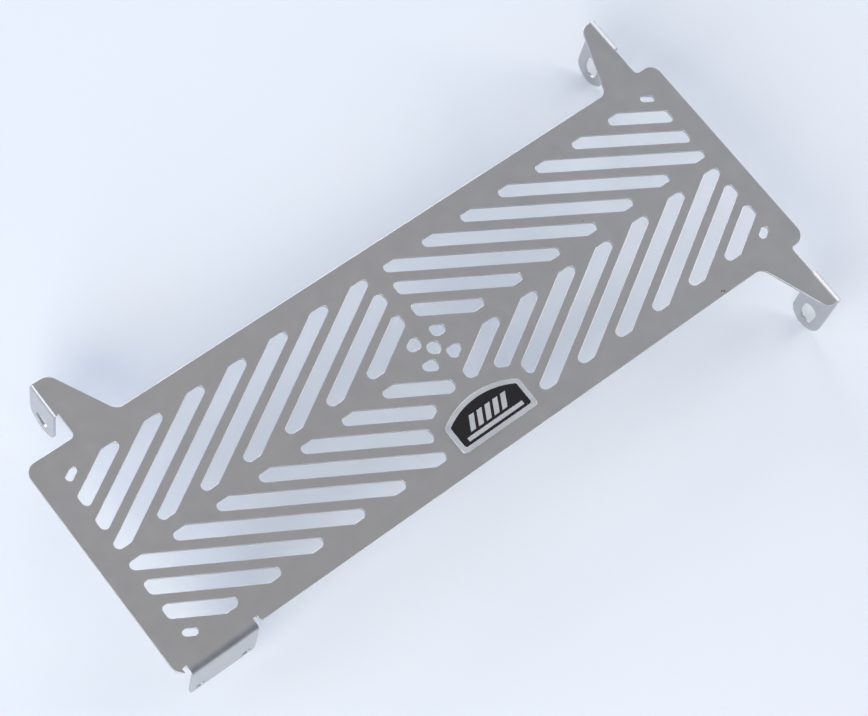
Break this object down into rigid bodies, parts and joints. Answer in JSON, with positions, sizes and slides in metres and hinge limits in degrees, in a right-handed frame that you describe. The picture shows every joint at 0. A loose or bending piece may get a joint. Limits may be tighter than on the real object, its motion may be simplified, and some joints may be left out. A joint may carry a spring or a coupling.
{
  "type": "motorcycle radiator guard",
  "caption": "Folded stainless sheet guard for a motorcycle radiator, with a chevron of slanted slots, a bonded badge and folded-back mounting tabs with bolt holes.",
  "frame": {"origin": "under the middle of the front panel, level with the tips of the folded tabs that it stands on", "axes": "+X runs along the guard towards the end with the two long tabs, +Y across it towards the edge with the tab at both ends, +Z out of the slotted front, away from the radiator"},
  "size_m": [0.414, 0.2073, 0.0504],
  "materials": {
    "stainless_sheet": "even satin grain, tumbled and electropolished after cutting and folding",
    "badge_metal": "satin silver rim round a sunk gloss black field"
  },
  "bodies": {
    "root": {"guard_plate": "stainless_sheet", "badge": "badge_metal"}
  },
  "joints": []
}
